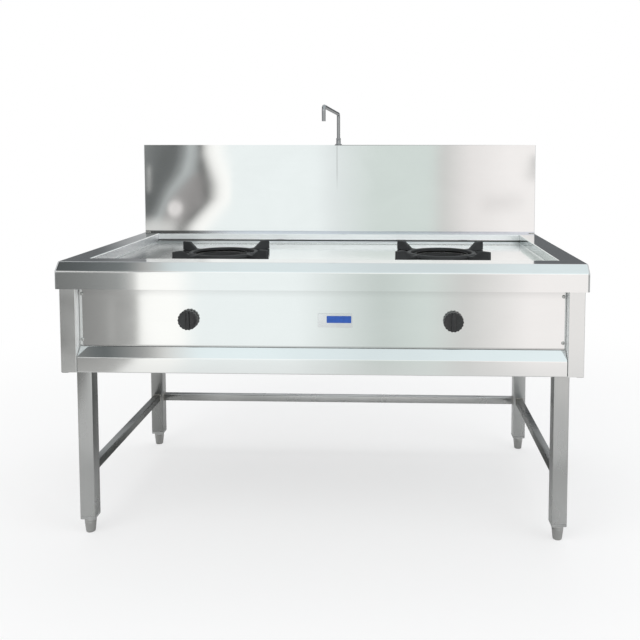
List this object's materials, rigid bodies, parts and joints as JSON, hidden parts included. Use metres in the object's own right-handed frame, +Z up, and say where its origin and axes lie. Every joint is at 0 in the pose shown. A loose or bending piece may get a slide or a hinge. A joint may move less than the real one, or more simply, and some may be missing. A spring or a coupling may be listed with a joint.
{
  "type": "wok range",
  "caption": "Stainless gas wok range on square legs: sunken worktop with cast-iron trivets over burners, control panel with knobs, splash panel and swing tap.",
  "frame": {"origin": "on the floor, under the middle of the range's bounding box", "axes": "+X to the right seen from the front, +Y to the back, +Z up"},
  "size_m": [1.5, 0.83, 1.2689],
  "materials": {
    "stainless_sheet": "bright satin stainless sheet with broad soft reflections",
    "stainless_tube": "satin stainless square tube, brushed along its length",
    "foot_insert": "grey moulded plastic",
    "foot_metal": "dull turned steel",
    "fastener": "bright screw heads",
    "gas_pipe_steel": "plain mill-finish steel",
    "cast_iron": "dark sand-cast iron",
    "cast_iron_black": "black painted cast iron",
    "brass": "machined brass",
    "knob_black": "glossy black moulded plastic",
    "plate_aluminium": "fine satin plate",
    "band_blue": "plain blue enamel",
    "tap_chrome": "polished tube"
  },
  "bodies": {
    "cabinet": {"top_deck": "stainless_sheet", "deck_pan": "stainless_sheet", "splash_panel": "stainless_sheet", "side_panel_left": "stainless_sheet", "side_panel_right": "stainless_sheet", "control_panel": "stainless_sheet", "lower_rail": "stainless_sheet", "rear_panel": "stainless_sheet", "leg_front_left": "stainless_tube", "leg_rear_left": "stainless_tube", "leg_front_right": "stainless_tube", "leg_rear_right": "stainless_tube", "brace_left": "stainless_tube", "brace_right": "stainless_tube", "brace_rear": "stainless_tube", "leg_insert_front_left": "foot_insert", "leg_insert_rear_left": "foot_insert", "leg_insert_front_right": "foot_insert", "leg_insert_rear_right": "foot_insert", "panel_screw_upper_left": "fastener", "panel_screw_upper_right": "fastener", "panel_screw_lower_left": "fastener", "panel_screw_lower_right": "fastener", "burner_bar_front": "gas_pipe_steel", "burner_bar_rear": "gas_pipe_steel", "gas_manifold": "gas_pipe_steel", "manifold_end_cap": "gas_pipe_steel", "manifold_hanger_left": "gas_pipe_steel", "manifold_hanger_right": "gas_pipe_steel", "burner_body_left": "cast_iron", "burner_crown_left": "cast_iron", "gas_valve_left": "brass", "gas_jet_left": "brass", "burner_body_right": "cast_iron", "burner_crown_right": "cast_iron", "gas_valve_right": "brass", "gas_jet_right": "brass", "face_plate": "plate_aluminium", "face_plate_band": "band_blue", "tap_body": "tap_chrome", "tap_collar": "tap_chrome", "water_pipe": "tap_chrome", "pipe_clip": "tap_chrome", "tap_back_nut": "brass", "water_inlet_nut": "brass"},
    "left_control": {"knob_left": "knob_black", "valve_spindle_left": "brass"},
    "right_control": {"knob_right": "knob_black", "valve_spindle_right": "brass"},
    "left_shutter": {"air_shutter_left": "gas_pipe_steel"},
    "right_shutter": {"air_shutter_right": "gas_pipe_steel"},
    "left_trivet": {"trivet_left": "cast_iron_black"},
    "right_trivet": {"trivet_right": "cast_iron_black"},
    "spout": {"tap_spout": "tap_chrome"},
    "front_left_foot": {"foot_front_left": "foot_metal"},
    "rear_left_foot": {"foot_rear_left": "foot_metal"},
    "front_right_foot": {"foot_front_right": "foot_metal"},
    "rear_right_foot": {"foot_rear_right": "foot_metal"}
  },
  "joints": [
    {"name": "left_knob_turn", "type": "hinge", "parent": "cabinet", "child": "left_control", "pos_m": [-0.376, -0.397, 0.64], "axis": [0, -1, 0], "range_deg": [0, 180]},
    {"name": "right_knob_turn", "type": "hinge", "parent": "cabinet", "child": "right_control", "pos_m": [0.376, -0.397, 0.64], "axis": [0, -1, 0], "range_deg": [0, 180]},
    {"name": "left_shutter_turn", "type": "hinge", "parent": "cabinet", "child": "left_shutter", "pos_m": [-0.376, -0.2688, 0.64], "axis": [0, -1, 0], "range_deg": [0, 45]},
    {"name": "right_shutter_turn", "type": "hinge", "parent": "cabinet", "child": "right_shutter", "pos_m": [0.376, -0.2688, 0.64], "axis": [0, -1, 0], "range_deg": [0, 45]},
    {"name": "left_trivet_lift", "type": "slide", "parent": "cabinet", "child": "left_trivet", "axis": [0, 0, 1], "range_m": [0, 0.08]},
    {"name": "right_trivet_lift", "type": "slide", "parent": "cabinet", "child": "right_trivet", "axis": [0, 0, 1], "range_m": [0, 0.08]},
    {"name": "spout_swing", "type": "hinge", "parent": "cabinet", "child": "spout", "pos_m": [0, 0.4001, 1.16], "axis": [0, 0, 1], "range_deg": [-90, 90]},
    {"name": "front_left_foot_level", "type": "slide", "parent": "cabinet", "child": "front_left_foot", "axis": [0, 0, 1], "range_m": [-0.02, 0]},
    {"name": "rear_left_foot_level", "type": "slide", "parent": "cabinet", "child": "rear_left_foot", "axis": [0, 0, 1], "range_m": [-0.02, 0]},
    {"name": "front_right_foot_level", "type": "slide", "parent": "cabinet", "child": "front_right_foot", "axis": [0, 0, 1], "range_m": [-0.02, 0]},
    {"name": "rear_right_foot_level", "type": "slide", "parent": "cabinet", "child": "rear_right_foot", "axis": [0, 0, 1], "range_m": [-0.02, 0]}
  ]
}
